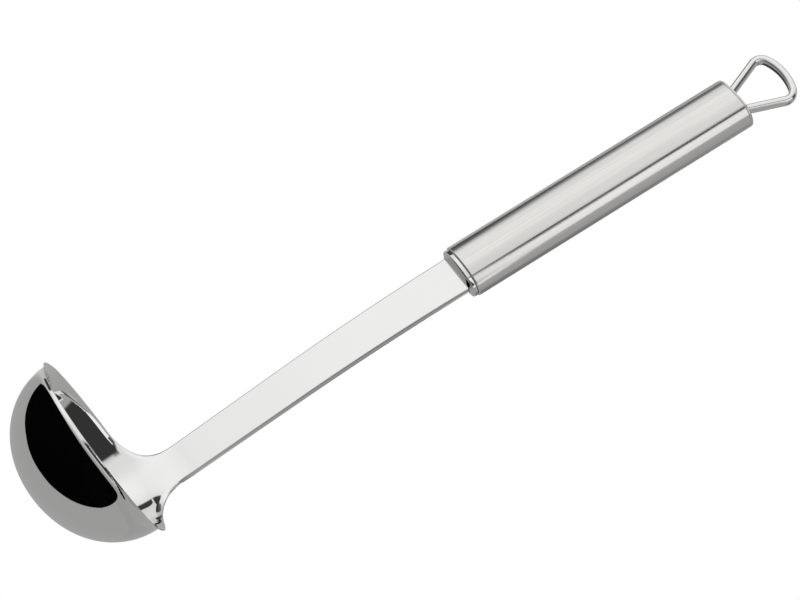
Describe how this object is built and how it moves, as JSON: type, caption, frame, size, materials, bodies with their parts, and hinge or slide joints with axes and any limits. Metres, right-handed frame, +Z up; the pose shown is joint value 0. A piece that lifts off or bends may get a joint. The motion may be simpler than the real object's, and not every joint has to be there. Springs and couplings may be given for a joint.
{
  "type": "sauce ladle",
  "caption": "Stainless steel sauce ladle with a deep round bowl, a pouring lip on each side, a flat curved shank and a hollow oval handle with a hanging loop.",
  "frame": {"origin": "the seat of the hook inside the hanging loop, on the middle of the bar", "axes": "+Z up with the bowl's rim level; the shank and handle stand on the +X side of the bowl; the pouring lips point along +Y and -Y"},
  "size_m": [0.1049, 0.0772, 0.3054],
  "materials": {
    "polished_steel": "mirror polished stainless steel",
    "satin_steel": "satin stainless steel, brushed along the handle",
    "cap_steel": "polished stainless steel",
    "loop_steel": "polished stainless steel bar"
  },
  "bodies": {
    "root": {"bowl_and_shank": "polished_steel", "handle_tube": "satin_steel", "front_cap": "cap_steel", "rear_cap": "cap_steel", "hanging_loop": "loop_steel"}
  },
  "joints": []
}
